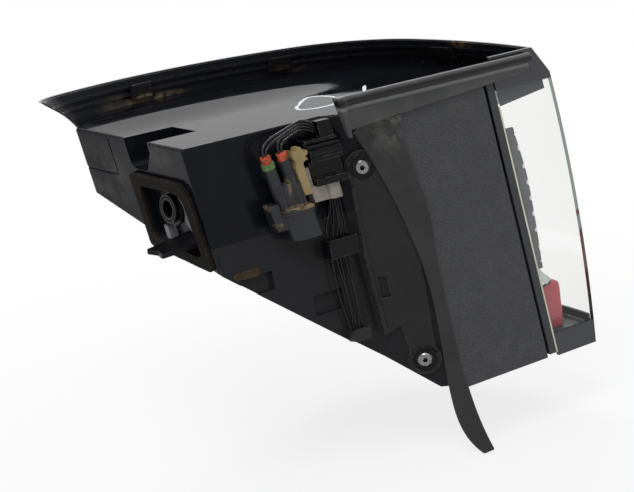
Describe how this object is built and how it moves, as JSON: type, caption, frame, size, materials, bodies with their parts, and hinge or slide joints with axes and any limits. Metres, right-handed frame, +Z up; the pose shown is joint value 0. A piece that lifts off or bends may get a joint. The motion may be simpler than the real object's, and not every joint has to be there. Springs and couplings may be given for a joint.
{
  "type": "tail light cluster",
  "caption": "Wrap-round car tail lamp: clear lens over a black housing with a foam-ringed locator, side connectors and leads, a screwed bracket, a grained jamb panel and rubber seals.",
  "frame": {"origin": "centre of the front locator's mouth on the housing's front face", "axes": "+X rearward along the car, +Y outboard, +Z up"},
  "size_m": [0.4796, 0.3163, 0.3967],
  "materials": {
    "clear_lens": "clear polished acrylic",
    "carrier_black": "black, slightly dusty",
    "clip_black": "black",
    "housing_black": "glossy black moulding",
    "weld_cream": "cream weld line",
    "foam": "dark foam, dusty edges",
    "locator_grey": "grey moulding",
    "vent_tan": "tan membrane",
    "bracket_black": "black, fine grain",
    "screw_steel": "zinc plated",
    "collar_black": "black",
    "jamb_grain": "dark grey, leather grain",
    "strip_rubber": "black rubber, satin",
    "flap_rubber": "black rubber, dusty",
    "module_black": "black",
    "plug_pale": "pale beige",
    "plug_grey": "dark grey",
    "seal_orange": "orange red silicone",
    "seal_green": "green silicone",
    "lock_beige": "beige",
    "socket_dark": "dark grey",
    "terminal_brass": "tinned brass",
    "wire_black": "black sleeving",
    "grommet_black": "black",
    "strap_black": "black",
    "bezel_grey": "dark grey",
    "guide_clear": "frosted clear",
    "bar_red": "red acrylic",
    "trim_chrome": "bright plated",
    "reflector_chrome": "metallised",
    "board_green": "coated circuit board",
    "emitter_white": "phosphor dome",
    "reflex_red": "red prismatic acrylic"
  },
  "bodies": {
    "root": {"outer_lens": "clear_lens", "wing_frame": "carrier_black", "retaining_clips": "clip_black", "housing": "housing_black", "weld_bead": "weld_cream", "foam_seal": "foam", "locator_socket": "locator_grey", "vent_filter": "vent_tan", "bracket": "bracket_black", "bracket_screws": "screw_steel", "screw_collars": "collar_black", "jamb_panel": "jamb_grain", "jamb_top_seal": "strip_rubber", "jamb_side_seal": "flap_rubber", "driver_module": "module_black", "module_plug": "plug_pale", "harness_plug": "plug_grey", "wire_seals": "seal_orange", "green_seal": "seal_green", "plug_lock": "lock_beige", "plug_socket": "socket_dark", "socket_terminals": "terminal_brass", "upper_wires": "wire_black", "lower_wires": "wire_black", "wire_grommet": "grommet_black", "wire_strap": "strap_black", "inner_bezel": "bezel_grey", "light_guide": "guide_clear", "red_lens_bar": "bar_red", "chrome_trim": "trim_chrome", "reflector": "reflector_chrome", "led_board": "board_green", "led_emitters": "emitter_white", "side_reflex": "reflex_red"}
  },
  "joints": []
}
